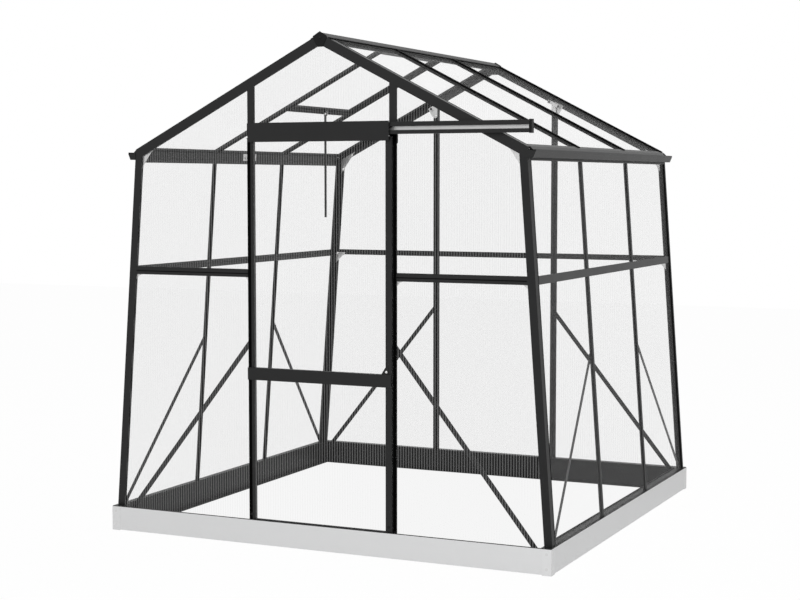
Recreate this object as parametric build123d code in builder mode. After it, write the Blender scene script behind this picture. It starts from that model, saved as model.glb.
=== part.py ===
from build123d import *
from math import atan2, cos, degrees, sin, tan
import os

os.makedirs("parts", exist_ok=True)

# Hobby greenhouse with leaning side walls, a gable roof, a sliding door and a roof vent.
# Millimetres. X to the right seen from the door, Y from the door to the rear, Z up.
# The origin is on the ground, at the middle of the base.

# Base, over the outside of its corner angles
base_width = 1931.0
base_depth = 1900.0
base_height = 99.0
base_sheet = 2.0
base_return = 14.0
corner_angle_leg = 37.0
corner_angle_sheet = 1.5
corner_angle_drop = 2.5

# Frame, over its outer faces
foot_setback = 7.5
wall_lean = 109.0
eave_height = 1576.0
roof_rise = 438.0
gable_setback = 31.0
rail_height = 1083.0
bay_bar_y = 306.0

# Extruded profiles
profile_wall = 2.0
profile_lip = 1.8
glazing = 4.0
groove_depth = 14.0
post_face = 31.5
post_return = 32.0
rafter_face = 38.0
rafter_return = 34.0
mullion_face = 30.0
mullion_depth = 20.0
bar_face = 22.0
bar_depth = 15.0
rail_face = 32.0
back_rail_face = 26.0
rail_depth = 14.0
eave_wall_leg = 52.0
eave_roof_leg = 19.0
nose_width = 11.0
nose_height = 13.0

# Sills
sill_thickness = 2.5
sill_wall = 2.0
side_sill_width = 42.0
gable_sill_width = 64.0
sill_upstand = 5.0
sill_foot = 26.0
guide_depth = 13.0

# Gutters
gutter_wall = 1.6
gutter_height = 28.0
gutter_floor_drop = 42.0
gutter_floor_reach = 26.0
gutter_rim_reach = 36.0
gutter_rim_drop = 18.0
gutter_overrun = 2.0
gutter_cap = 1.5

# Ridge
ridge_leg = 34.0
ridge_stem = 31.0
ridge_foot_width = 16.0
ridge_cap_half_width = 30.0
ridge_cap_rise = 4.6
ridge_cap_sheet = 2.2
ridge_plate_proud = 4.0
ridge_plate_nub = 51.0
ridge_plate_half_nub = 12.0

# Door opening, track and leaf
door_post_x = 309.0
track_rise = 49.0
track_height = 46.0
track_depth = 22.5
track_slot = 14.0
track_reach = 556.0
track_lead = 4.5
strip_thickness = 1.0
cap_length = 11.0
cap_proud = 2.5
header_face = 30.0
leaf_overlap = 5.0
leaf_thickness = 13.0
leaf_gap = 5.0
stile_face = 26.0
stile_wall = 1.8
seal_width = 8.5
seal_edge = 6.5
seal_depth = 2.6
seal_recess = 0.8
leaf_headroom = 10.5
head_plate_lap = 14.0
head_plate_height = 74.5
head_plate = 2.5
head_plate_setback = 8.0
head_plate_gap = 5.5
door_rail_height = 686.0
door_rail_face = 49.0
door_rail_proud = 6.5
bottom_rail_height = 12.0
roller_width = 9.0
roller_headroom = 3.3
roller_inset = 77.0
roller_pin_radius = 3.0
running_gap = 0.3
door_gusset_width = 18.0
door_gusset_height = 27.0

# Braces and gusset plates
brace_width = 20.0
brace_sheet = 2.0
gable_brace_top = 822.0
gable_brace_foot = 68.0
side_brace_top = 765.0
side_brace_foot = 34.0
gusset_sheet = 1.5
gusset_leg = 74.0
rail_gusset_leg = 56.0
tee_width = 44.0
tee_height = 62.0

# Roof vent, in the middle bay of the left slope
vent_foot_x = 490.0
vent_frame_face = 30.0
vent_frame_height = 8.0
vent_side_gap = 3.0
vent_glazing_inset = 16.0
stay_length = 490.0
stay_width = 10.0
stay_sheet = 3.0
stay_y = 30.0

# Derived places
foot_half_width = base_width / 2 - foot_setback
eave_half_width = foot_half_width - wall_lean
roof_peak = eave_height + roof_rise
lean = atan2(wall_lean, eave_height - base_height)
pitch = atan2(roof_rise, eave_half_width)
wall_rise = (eave_height - base_height) / cos(lean)
roof_run = eave_half_width / cos(pitch)
gable_y = base_depth / 2 - gable_setback
sill_top = base_height + sill_thickness
web_half = profile_wall / 2
groove_back = profile_wall + glazing + profile_lip
post_floor = post_face - groove_depth
return_floor = post_return - groove_depth
rafter_floor = rafter_face - groove_depth
board_x = base_width / 2 - corner_angle_sheet
board_y = base_depth / 2 - corner_angle_sheet
rail_rise = (rail_height - base_height) / cos(lean)
rear_rail_height = rail_height + (rail_face - back_rail_face) / 2
track_bottom = eave_height + track_rise
header_height = track_bottom + track_height / 2

# Planes of the right-hand wall and slope, with their outer faces on them; the left is its mirror image
right_wall = Plane(
    origin=(foot_half_width, 0, base_height), x_dir=(0, 1, 0), z_dir=(cos(lean), 0, sin(lean))
)
right_roof = Plane(origin=(0, 0, roof_peak), x_dir=(0, 1, 0), z_dir=(sin(pitch), 0, cos(pitch)))
front_wall = Plane.XZ.offset(gable_y)
level_sill = Plane.XY.offset(sill_top)


def wall_x(z, inset=0.0):
    """X at height z of a line along the right-hand wall, this far in from its outer face."""
    return foot_half_width - (z - base_height) * tan(lean) - inset / cos(lean)


def roof_z(x, depth=0.0):
    """Height over x of a line along the right-hand slope, this far under its outer face."""
    return roof_peak - x * tan(pitch) - depth / cos(pitch)


def wall_roof_corner(inset, depth):
    """Where a line along the wall meets a line along the slope."""
    fall = (roof_peak - depth / cos(pitch) - base_height) * tan(lean)
    x = (foot_half_width - fall - inset / cos(lean)) / (1 - tan(pitch) * tan(lean))
    return (x, roof_z(x, depth))


def leg_outline(corner, along, inward, length):
    """One leg of a glazing profile: an outer sheet with the groove for a sheet at its free edge."""
    floor = length - groove_depth
    back = floor - profile_lip
    shape = [
        (0, 0),
        (length, 0),
        (length, profile_wall),
        (floor, profile_wall),
        (floor, profile_wall + glazing),
        (length, profile_wall + glazing),
        (length, groove_back),
        (back, groove_back),
        (back, profile_wall),
        (0, profile_wall),
    ]
    return [
        (corner[0] + along[0] * a + inward[0] * b, corner[1] + along[1] * a + inward[1] * b)
        for a, b in shape
    ]


def bar_outline(face, depth):
    """A bar with a groove at each edge: outer face, two lips and a stem that points inward."""
    half = face / 2
    lip_front = profile_wall + glazing
    right = [
        (half, 0),
        (half, profile_wall),
        (web_half, profile_wall),
        (web_half, lip_front),
        (half, lip_front),
        (half, groove_back),
        (web_half, groove_back),
        (web_half, depth),
    ]
    left = [(-x, y) for x, y in reversed(right)]
    return right + left


def finish(piece, name):
    """Label a finished piece and write it out."""
    piece.part.label = name
    export_step(piece.part, f"parts/{name}.step")


def finish_pair(piece, stem, about, names):
    """Write a piece and its mirror image."""
    with BuildPart() as other:
        mirror(piece.part, about=about)
    finish(piece, f"{stem}_{names[0]}")
    finish(other, f"{stem}_{names[1]}")


# Base boards: pale sheet with a return at the foot
def base_board(length, face, corner_clear):
    """A board that stands on the plane's first axis, its outer face at the given distance."""
    with BuildPart() as board:
        with BuildSketch(Plane.YZ):
            with Locations((face, corner_angle_drop)):
                Rectangle(base_sheet, base_height - corner_angle_drop, align=(Align.MAX, Align.MIN))
        extrude(amount=length / 2, both=True)
        with BuildSketch(Plane.YZ):
            with Locations((face, corner_angle_drop)):
                Rectangle(base_return, base_sheet, align=(Align.MAX, Align.MIN))
        extrude(amount=length / 2 - corner_clear, both=True)
    return board


with BuildPart() as base_back:
    add(base_board(2 * board_x, board_y, base_sheet).part)
with BuildPart() as base_front:
    mirror(base_back.part, about=Plane.XZ)
finish(base_front, "base_front")
finish(base_back, "base_back")

side_board = base_board(2 * (board_y - base_sheet), board_x, gable_sill_width)
with BuildPart() as base_right:
    add(side_board.part, rotation=(0, 0, -90))
finish_pair(base_right, "base", Plane.YZ, ("right", "left"))

# Corner angles of the base, outside the boards
with BuildPart() as base_corners:
    with BuildSketch():
        with Locations((base_width / 2, base_depth / 2)):
            Rectangle(corner_angle_leg, corner_angle_sheet, align=(Align.MAX, Align.MAX))
            Rectangle(corner_angle_sheet, corner_angle_leg, align=(Align.MAX, Align.MAX))
        mirror(about=Plane.YZ)
        mirror(about=Plane.XZ)
    extrude(amount=base_height)
finish(base_corners, "base_corners")

# Sills: a flange on the board's top edge, an upstand, an inner skirt and a foot
gable_sill_edge = board_y - gable_sill_width
side_sill_edge = board_x - side_sill_width
guide_outer = board_y - base_sheet
guide_floor = sill_top - guide_depth - sill_wall
guide_lip = guide_outer - sill_wall


def skirt_outline(edge):
    """A sill's inner edge: from its flange down the skirt, and back up to the flange's underside."""
    outer = edge + sill_wall
    return [
        (edge, sill_top),
        (edge, corner_angle_drop),
        (outer, corner_angle_drop),
        (outer, base_height),
    ]


plain_sill = [(board_y, base_height), (board_y, sill_top)] + skirt_outline(gable_sill_edge)
guide_sill = [
    (board_y, base_height),
    (board_y, sill_top),
    (guide_lip, sill_top),
    (guide_lip, guide_floor),
    (gable_sill_edge, guide_floor),
    (gable_sill_edge, corner_angle_drop),
    (gable_sill_edge + sill_wall, corner_angle_drop),
    (gable_sill_edge + sill_wall, guide_floor - sill_wall),
    (guide_outer, guide_floor - sill_wall),
    (guide_outer, base_height),
]


def gable_sill(outline):
    """A sill across a gable: below the boards' edge it stays between the side boards."""
    with BuildPart() as sill:
        with BuildSketch(Plane.YZ):
            Polygon(*outline)
        extrude(amount=board_x - base_sheet, both=True)
        with BuildSketch(Plane.YZ):
            Polygon(*outline)
            with Locations((gable_sill_edge, base_height)):
                Rectangle(gable_sill_width, sill_thickness, align=Align.MIN, mode=Mode.INTERSECT)
        extrude(amount=board_x, both=True)
        with BuildSketch(Plane.YZ):
            with Locations((gable_sill_edge, corner_angle_drop)):
                Rectangle(sill_foot, sill_wall, align=(Align.MAX, Align.MIN))
        extrude(amount=side_sill_edge, both=True)
    return sill


with BuildPart() as sill_back:
    add(gable_sill(plain_sill).part)
    with BuildSketch(Plane.YZ):
        with Locations((gable_sill_edge, sill_top)):
            Rectangle(sill_wall, sill_upstand, align=Align.MIN)
    extrude(amount=side_sill_edge + sill_wall, both=True)
finish(sill_back, "sill_back")

# The front sill is a trough for the door's foot and the door posts, with corners as high as the side sills
with BuildPart() as sill_front_turned:
    add(gable_sill(guide_sill).part)
    with BuildSketch(Plane.XY.offset(base_height)):
        with Locations((side_sill_edge, gable_sill_edge)):
            Rectangle(side_sill_width, gable_sill_width, align=Align.MIN)
        mirror(about=Plane.YZ)
    extrude(amount=sill_thickness)
    with BuildSketch(Plane.XY.offset(guide_floor)):
        with Locations((side_sill_edge, gable_sill_edge)):
            Rectangle(side_sill_width - base_sheet, sill_wall, align=Align.MIN)
            Rectangle(sill_wall, gable_sill_width - base_sheet, align=Align.MIN)
        mirror(about=Plane.YZ)
    extrude(amount=base_height - guide_floor)
with BuildPart() as sill_front:
    mirror(sill_front_turned.part, about=Plane.XZ)
finish(sill_front, "sill_front")

# The side sills stand between the gable sills
with BuildPart() as sill_right:
    with BuildSketch(Plane.XZ):
        Polygon(*([(board_x, base_height), (board_x, sill_top)] + skirt_outline(side_sill_edge)))
        with Locations((side_sill_edge, sill_top)):
            Rectangle(sill_wall, sill_upstand, align=Align.MIN)
    extrude(amount=gable_sill_edge, both=True)
    with BuildSketch(Plane.XZ):
        with Locations((side_sill_edge, corner_angle_drop)):
            Rectangle(sill_foot, sill_wall, align=(Align.MAX, Align.MIN))
    extrude(amount=gable_sill_edge - sill_foot, both=True)
finish_pair(sill_right, "sill", Plane.YZ, ("right", "left"))

# Corner posts: two glazed legs that lean with the side wall
post_axis = Plane(
    origin=(foot_half_width, gable_y, base_height), x_dir=(0, -1, 0), z_dir=(-sin(lean), 0, cos(lean))
)
under_rafter = Plane(
    origin=(0, 0, roof_z(0, rafter_face)), x_dir=(0, 1, 0), z_dir=(sin(pitch), 0, cos(pitch))
)
with BuildPart() as post_back_right:
    with BuildSketch(post_axis.offset(-post_face)):
        gable_leg = leg_outline((0, 0), (0, -1), (1, 0), post_face)
        Polygon(*gable_leg)
        Polygon(*leg_outline((0, 0), (1, 0), (0, -1), post_return))
    extrude(amount=wall_rise - eave_wall_leg + post_face)
    with BuildSketch(post_axis.offset(wall_rise - eave_wall_leg)):
        Polygon(*gable_leg)
    extrude(amount=eave_wall_leg)
    split(bisect_by=level_sill, keep=Keep.TOP)
    split(bisect_by=under_rafter, keep=Keep.BOTTOM)
with BuildPart() as post_front_right:
    mirror(post_back_right.part, about=Plane.XZ)
finish_pair(post_back_right, "post_back", Plane.YZ, ("right", "left"))
finish_pair(post_front_right, "post_front", Plane.YZ, ("right", "left"))


# Door posts and rear studs
def mullions(side, foot):
    """The two upright bars of a gable wall, at its front (-1) or its back (1), from a level up."""
    turn = 0 if side < 0 else 180
    with BuildPart() as pair:
        with BuildSketch(Plane.XY.offset(foot)):
            with Locations(Location((door_post_x, side * gable_y), turn)):
                Polygon(*bar_outline(mullion_face, mullion_depth))
        extrude(amount=roof_peak)
        split(bisect_by=under_rafter, keep=Keep.BOTTOM)
        mirror(about=Plane.YZ)
    return pair


door_posts = mullions(-1, guide_floor)
finish(door_posts, "door_posts")
back_studs = mullions(1, sill_top)
finish(back_studs, "back_studs")


# Rails of the gable walls
def gable_rail(side, face, height, start, stop):
    """A level bar of a gable wall between two distances from the middle."""
    with BuildPart() as rail:
        with BuildSketch(Plane.YZ.offset(start)):
            with Locations(Location((side * gable_y, height), side * 90)):
                Polygon(*bar_outline(face, rail_depth))
        extrude(amount=stop - start)
    return rail


beside_post = right_wall.offset(-post_face)
mullion_edge = mullion_face / 2
outer_start = door_post_x + mullion_edge
with BuildPart() as front_rails:
    add(gable_rail(-1, rail_face, rail_height, outer_start, foot_half_width).part)
    split(bisect_by=beside_post, keep=Keep.BOTTOM)
    mirror(about=Plane.YZ)
finish(front_rails, "front_rails")

inner_stop = door_post_x - mullion_edge
with BuildPart() as back_rails:
    add(gable_rail(1, back_rail_face, rear_rail_height, outer_start, foot_half_width).part)
    split(bisect_by=beside_post, keep=Keep.BOTTOM)
    mirror(about=Plane.YZ)
    add(gable_rail(1, back_rail_face, rear_rail_height, -inner_stop, inner_stop).part)
finish(back_rails, "back_rails")

# The bar over the doorway, behind the track
with BuildPart() as door_header:
    add(gable_rail(-1, header_face, header_height, -inner_stop, inner_stop).part)
finish(door_header, "door_header")

# Rails and bars of the side walls
post_inner_y = gable_y - post_return
with BuildPart() as rail_right:
    with BuildSketch(Plane.XZ):
        with Locations(Location((wall_x(rail_height), rail_height), degrees(lean) + 90)):
            Polygon(*bar_outline(rail_face, rail_depth))
    extrude(amount=post_inner_y, both=True)
finish_pair(rail_right, "rail", Plane.YZ, ("right", "left"))

wall_axis = Plane(
    origin=(foot_half_width, 0, base_height), x_dir=(0, 1, 0), z_dir=(-sin(lean), 0, cos(lean))
)
lower_bar_top = rail_rise - rail_face / 2
upper_bar_foot = rail_rise + rail_face / 2
with BuildPart() as wall_bars_right:
    with BuildSketch(wall_axis.offset(-bar_face)):
        with Locations((-bay_bar_y, 0), (bay_bar_y, 0)):
            Polygon(*bar_outline(bar_face, bar_depth))
    extrude(amount=lower_bar_top + bar_face)
    split(bisect_by=level_sill, keep=Keep.TOP)
    with BuildSketch(wall_axis.offset(upper_bar_foot)):
        with Locations((-bay_bar_y, 0), (bay_bar_y, 0)):
            Polygon(*bar_outline(bar_face, bar_depth))
    extrude(amount=wall_rise - eave_wall_leg - upper_bar_foot)
finish_pair(wall_bars_right, "wall_bars", Plane.YZ, ("right", "left"))

# End rafters: their front leg closes the gable, their upper leg carries the roof sheets
rafter_axis = Plane(
    origin=(0, gable_y, roof_peak), x_dir=(0, -1, 0), z_dir=(cos(pitch), 0, -sin(pitch))
)
with BuildPart() as rafter_back_right:
    with BuildSketch(rafter_axis.offset(-rafter_face)):
        Polygon(*leg_outline((0, 0), (0, 1), (1, 0), rafter_face))
        Polygon(*leg_outline((0, 0), (1, 0), (0, 1), rafter_return))
    extrude(amount=roof_run + 2 * rafter_face)
    split(bisect_by=Plane.YZ, keep=Keep.TOP)
    split(bisect_by=right_wall, keep=Keep.BOTTOM)
with BuildPart() as rafter_front_right:
    mirror(rafter_back_right.part, about=Plane.XZ)
finish_pair(rafter_back_right, "rafter_back", Plane.YZ, ("right", "left"))
finish_pair(rafter_front_right, "rafter_front", Plane.YZ, ("right", "left"))

# Eave beams: a wall leg and a roof leg with a drip nose, and a plain tail behind each rafter's end
rafter_inner_y = gable_y - rafter_return
eave_corner = (eave_half_width, eave_height)
down_wall = (sin(lean), -cos(lean))
into_wall = (-cos(lean), -sin(lean))
up_roof = (-cos(pitch), sin(pitch))
into_roof = (-sin(pitch), -cos(pitch))


def eave_point(down, inward):
    """A point of the eave's cross-section, from its outer top corner."""
    return (
        eave_corner[0] + down_wall[0] * down + into_wall[0] * inward,
        eave_corner[1] + down_wall[1] * down + into_wall[1] * inward,
    )


tail_top = groove_back + profile_wall
with BuildPart() as eave_beam_right:
    with BuildSketch(Plane.XZ):
        Polygon(*leg_outline(eave_corner, down_wall, into_wall, eave_wall_leg))
        Polygon(*leg_outline(eave_corner, up_roof, into_roof, eave_roof_leg))
        Polygon(eave_corner, eave_point(nose_height, -nose_width), eave_point(nose_height + profile_wall, 0))
    extrude(amount=rafter_inner_y, both=True)
    with BuildSketch(Plane.XZ):
        Polygon(
            eave_point(tail_top, 0),
            eave_point(eave_wall_leg, 0),
            eave_point(eave_wall_leg, profile_wall),
            eave_point(tail_top, profile_wall),
        )
    extrude(amount=gable_y - groove_back, both=True)
finish_pair(eave_beam_right, "eave_beam", Plane.YZ, ("right", "left"))

# Gutters: a trough on the eave beam's outer face, closed at both ends
trough_back = gutter_floor_drop - gutter_height + gutter_wall
floor_z = eave_point(gutter_floor_drop, 0)[1]
rim_z = eave_height - gutter_rim_drop
floor_x = eave_half_width + gutter_floor_reach
rim_x = eave_half_width + gutter_rim_reach
gutter_outline = [
    eave_point(trough_back, 0),
    eave_point(gutter_floor_drop, 0),
    (floor_x, floor_z),
    (rim_x, rim_z),
]
trough_inside = [
    (eave_point(trough_back, -gutter_wall)[0], rim_z + gutter_height),
    eave_point(gutter_floor_drop - gutter_wall, -gutter_wall),
    (floor_x - gutter_wall, floor_z + gutter_wall),
    (rim_x - gutter_wall, rim_z),
    (rim_x - gutter_wall, rim_z + gutter_height),
]
gutter_half = gable_y + gutter_overrun
with BuildPart() as gutter_right:
    with BuildSketch(Plane.XZ):
        Polygon(*gutter_outline)
    extrude(amount=gutter_half, both=True)
    with BuildSketch(Plane.XZ):
        Polygon(*trough_inside)
    extrude(amount=gutter_half - gutter_cap, both=True, mode=Mode.SUBTRACT)
finish_pair(gutter_right, "gutter", Plane.YZ, ("right", "left"))

# Ridge beam: two glazed legs on a stem with a foot
down_roof = (cos(pitch), -sin(pitch))
under_right = (-sin(pitch), -cos(pitch))
with BuildPart() as ridge_beam:
    with BuildSketch(Plane.XZ):
        Polygon(*leg_outline((0, roof_peak), down_roof, under_right, ridge_leg))
        mirror(about=Plane.YZ)
        with Locations((0, roof_peak - profile_wall)):
            Rectangle(profile_wall, ridge_stem, align=(Align.CENTER, Align.MAX))
        with Locations((0, roof_peak - profile_wall - ridge_stem)):
            Rectangle(ridge_foot_width, profile_wall, align=(Align.CENTER, Align.MIN))
    extrude(amount=rafter_inner_y, both=True)
finish(ridge_beam, "ridge_beam")

# Ridge cap: a crest that sits on both slopes
cap_foot_z = roof_z(ridge_cap_half_width)
cap_crest = roof_peak + ridge_cap_rise
cap_inner_foot = ridge_cap_half_width - 2 * ridge_cap_sheet
with BuildPart() as ridge_cap:
    with BuildSketch(Plane.XZ):
        Polygon(
            (0, cap_crest),
            (ridge_cap_half_width, cap_foot_z + ridge_cap_sheet),
            (ridge_cap_half_width, cap_foot_z),
            (cap_inner_foot, roof_z(cap_inner_foot)),
            (0, cap_crest - ridge_cap_sheet),
        )
        mirror(about=Plane.YZ)
    extrude(amount=gable_y, both=True)
finish(ridge_cap, "ridge_cap")

# End plates of the cap, over the rafters' joints
with BuildPart() as ridge_plates:
    with BuildSketch(front_wall):
        Polygon(
            (0, cap_crest + ridge_plate_proud),
            (ridge_cap_half_width, cap_foot_z + ridge_cap_sheet + ridge_plate_proud),
            (ridge_cap_half_width, cap_foot_z),
            (ridge_plate_half_nub, roof_peak - ridge_plate_nub),
            (0, roof_peak - ridge_plate_nub),
        )
        mirror(about=Plane.YZ)
    extrude(amount=ridge_cap_sheet)
    mirror(about=Plane.XZ)
finish(ridge_plates, "ridge_plates")

# Roof bars: two a slope, in line with the wall bars
slope_axis = Plane(origin=(0, 0, roof_peak), x_dir=(0, -1, 0), z_dir=(cos(pitch), 0, -sin(pitch)))


def slope_bars(axis):
    """The two bars of a slope, from the ridge beam's leg to the eave beam's leg."""
    with BuildPart() as bars:
        with BuildSketch(axis.offset(ridge_leg)):
            with Locations((-bay_bar_y, 0), (bay_bar_y, 0)):
                Polygon(*bar_outline(bar_face, bar_depth))
        extrude(amount=roof_run - ridge_leg - eave_roof_leg)
    return bars


roof_bars_right = slope_bars(slope_axis)
finish(roof_bars_right, "roof_bars_right")

# On the left slope a trimmer between the bars carries the vent's foot
vent_foot = vent_foot_x / cos(pitch)
with BuildPart() as roof_bars_left:
    mirror(roof_bars_right.part, about=Plane.YZ)
finish(roof_bars_left, "roof_bars_left")
with BuildPart() as vent_trimmer:
    with BuildSketch(Plane.XZ):
        with Locations(Location((-vent_foot_x, roof_z(vent_foot_x)), 180 + degrees(pitch))):
            Polygon(*bar_outline(bar_face, rail_depth))
    extrude(amount=bay_bar_y - bar_face / 2, both=True)
finish(vent_trimmer, "vent_trimmer")


# Braces: flat bars behind the profiles' lips, from the foot of a corner to a post or bar
def brace_outline(top_x, top_z, foot_x, foot_z):
    """A sloping flat, cut upright at its top and level at its foot."""
    angle = atan2(top_z - foot_z, foot_x - top_x)
    rise = brace_width / 2 / cos(angle)
    spread = brace_width / 2 / sin(angle)
    return [
        (top_x, top_z + rise),
        (top_x, top_z - rise),
        (foot_x - spread, foot_z),
        (foot_x + spread, foot_z),
    ]


def gable_brace_pair(foot):
    """The two braces of a gable wall, down to a level."""
    with BuildPart() as pair:
        with BuildSketch(front_wall.offset(-groove_back)):
            Polygon(
                *brace_outline(
                    door_post_x + web_half, gable_brace_top, foot_half_width - gable_brace_foot, foot
                )
            )
            mirror(about=Plane.YZ)
        extrude(amount=-brace_sheet)
    return pair


with BuildPart() as gable_braces:
    mirror(gable_brace_pair(sill_top).part, about=Plane.XZ)
    add(gable_brace_pair(guide_floor).part)
finish(gable_braces, "gable_braces")

side_rise = (side_brace_top - base_height) / cos(lean)
with BuildPart() as side_braces:
    with BuildSketch(right_wall.offset(-groove_back)):
        Polygon(*brace_outline(bay_bar_y + web_half, side_rise, gable_y - side_brace_foot, 0))
        mirror(about=Plane.YZ)
    extrude(amount=-brace_sheet)
    split(bisect_by=level_sill, keep=Keep.TOP)
    mirror(about=Plane.YZ)
finish(side_braces, "side_braces")

# Door track: a lipped channel on the posts' faces, its slot to the front
track_front = gable_y + track_depth
track_start = door_post_x + track_lead - cap_length
track_end = door_post_x + track_reach
roller_radius = (track_height - 2 * profile_wall - running_gap - roller_headroom) / 2
roller_axis = track_bottom + profile_wall + running_gap + roller_radius
with BuildPart() as door_track:
    with BuildSketch(Plane.YZ.offset(-track_start)):
        with Locations((-gable_y, track_bottom)):
            Rectangle(track_depth, track_height, align=(Align.MAX, Align.MIN))
        with Locations((-gable_y - profile_wall, track_bottom + profile_wall)):
            Rectangle(
                track_depth - 2 * profile_wall,
                track_height - 2 * profile_wall,
                align=(Align.MAX, Align.MIN),
                mode=Mode.SUBTRACT,
            )
        with Locations((-track_front, roller_axis)):
            Rectangle(profile_wall, track_slot, align=(Align.MIN, Align.CENTER), mode=Mode.SUBTRACT)
    extrude(amount=track_end + track_start)
finish(door_track, "door_track")

with BuildPart() as track_strip:
    with BuildSketch(Plane.YZ.offset(-track_start)):
        with Locations((-gable_y - profile_wall, track_bottom + profile_wall)):
            Rectangle(strip_thickness, track_height - 2 * profile_wall, align=(Align.MAX, Align.MIN))
    extrude(amount=track_end + track_start)
finish(track_strip, "track_strip")

with BuildPart() as track_caps:
    for plane in (Plane.YZ.offset(track_end), Plane.YZ.offset(-track_start - cap_length)):
        with BuildSketch(plane):
            with Locations((-gable_y, track_bottom - cap_proud)):
                Rectangle(track_depth, track_height + 2 * cap_proud, align=(Align.MAX, Align.MIN))
        extrude(amount=cap_length)
    fillet(track_caps.edges().filter_by(Axis.X), radius=cap_proud)
finish(track_caps, "track_caps")

# Door leaf, in front of the posts and behind the base board's upper edge
leaf_front = guide_outer - sill_wall - leaf_gap
leaf_back = leaf_front - leaf_thickness
leaf_middle = (leaf_front + leaf_back) / 2
leaf_half = door_post_x + leaf_overlap
leaf_foot = guide_floor + leaf_gap
leaf_top = track_bottom - leaf_headroom
head_plate_bottom = leaf_top - head_plate_lap
stile_inner = leaf_half - stile_face
leaf_plane = Plane.XZ.offset(leaf_front)

with BuildPart() as door_stiles:
    with BuildSketch(Plane.XY.offset(leaf_foot)):
        with Locations((leaf_half, -leaf_middle)):
            Rectangle(stile_face, leaf_thickness, align=(Align.MAX, Align.CENTER))
            with Locations((-stile_wall, 0)):
                Rectangle(
                    stile_face - groove_depth - 2 * stile_wall,
                    leaf_thickness - 2 * stile_wall,
                    align=(Align.MAX, Align.CENTER),
                    mode=Mode.SUBTRACT,
                )
        with Locations((stile_inner, -leaf_middle)):
            Rectangle(groove_depth, glazing, align=(Align.MIN, Align.CENTER), mode=Mode.SUBTRACT)
        mirror(about=Plane.YZ)
        with Locations((seal_edge - leaf_half - stile_wall, -leaf_front)):
            Rectangle(seal_width + 2 * stile_wall, seal_depth + stile_wall, align=Align.MIN)
        with Locations((seal_edge - leaf_half, -leaf_front)):
            Rectangle(seal_width, seal_depth, align=Align.MIN, mode=Mode.SUBTRACT)
    extrude(amount=leaf_top - leaf_foot)
finish(door_stiles, "door_stiles")

# Rubber seal in the groove of the stile at the closing side
with BuildPart() as door_seal:
    with BuildSketch(Plane.XY.offset(leaf_foot)):
        with Locations((seal_edge - leaf_half, seal_recess - leaf_front)):
            Rectangle(seal_width, seal_depth - seal_recess, align=Align.MIN)
    extrude(amount=leaf_top - leaf_foot)
finish(door_seal, "door_seal")

plate_back = track_front + head_plate_gap
with BuildPart() as door_head_rail:
    with BuildSketch(Plane.YZ):
        with Locations((-plate_back, head_plate_bottom)):
            Rectangle(head_plate, head_plate_height, align=(Align.MAX, Align.MIN))
    extrude(amount=leaf_half - head_plate_setback, both=True)
    with BuildSketch(Plane.YZ):
        with Locations((-leaf_back, leaf_top)):
            Rectangle(plate_back - leaf_back, profile_wall, align=(Align.MAX, Align.MIN))
    extrude(amount=leaf_half, both=True)
    with BuildSketch(Plane.YZ):
        with Locations((-leaf_middle - glazing / 2, leaf_top)):
            Rectangle(profile_wall, head_plate_lap, align=(Align.MAX, Align.MAX))
        with Locations((-leaf_middle + glazing / 2, leaf_top)):
            Rectangle(profile_wall, head_plate_lap, align=(Align.MIN, Align.MAX))
    extrude(amount=stile_inner, both=True)
finish(door_head_rail, "door_head_rail")

door_rail_web = door_rail_face - 2 * groove_depth
with BuildPart() as door_middle_rail:
    with BuildSketch(Plane.YZ):
        with Locations((-leaf_middle, door_rail_height)):
            Rectangle(leaf_thickness, door_rail_face)
            Rectangle(glazing, door_rail_face, mode=Mode.SUBTRACT)
            Rectangle(leaf_thickness, door_rail_web)
            Rectangle(leaf_thickness - 2 * stile_wall, door_rail_web - 2 * stile_wall, mode=Mode.SUBTRACT)
    extrude(amount=stile_inner, both=True)
    with BuildSketch(Plane.YZ):
        with Locations((-leaf_front, door_rail_height)):
            Rectangle(door_rail_proud, door_rail_face, align=(Align.MAX, Align.CENTER))
            Rectangle(
                door_rail_proud - stile_wall,
                door_rail_face - 2 * stile_wall,
                align=(Align.MAX, Align.CENTER),
                mode=Mode.SUBTRACT,
            )
    extrude(amount=leaf_half, both=True)
finish(door_middle_rail, "door_middle_rail")

bottom_floor = bottom_rail_height - stile_wall
with BuildPart() as door_bottom_rail:
    with BuildSketch(Plane.YZ):
        with Locations((-leaf_middle, leaf_foot)):
            Rectangle(leaf_thickness, bottom_rail_height, align=(Align.CENTER, Align.MIN))
        with Locations((-leaf_middle, leaf_foot + bottom_rail_height)):
            Rectangle(glazing, bottom_floor, align=(Align.CENTER, Align.MAX), mode=Mode.SUBTRACT)
    extrude(amount=stile_inner, both=True)
finish(door_bottom_rail, "door_bottom_rail")

lower_sheet_foot = leaf_foot + stile_wall
lower_sheet_top = door_rail_height - door_rail_web / 2
upper_sheet_foot = door_rail_height + door_rail_web / 2
with BuildPart() as door_glazing:
    with BuildSketch(Plane.XZ.offset(leaf_middle + glazing / 2)):
        with Locations((0, lower_sheet_foot)):
            Rectangle(
                2 * (stile_inner + groove_depth),
                lower_sheet_top - lower_sheet_foot,
                align=(Align.CENTER, Align.MIN),
            )
        with Locations((0, upper_sheet_foot)):
            Rectangle(
                2 * (stile_inner + groove_depth),
                leaf_top - upper_sheet_foot,
                align=(Align.CENTER, Align.MIN),
            )
    extrude(amount=-glazing)
finish(door_glazing, "door_glazing")

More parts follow.
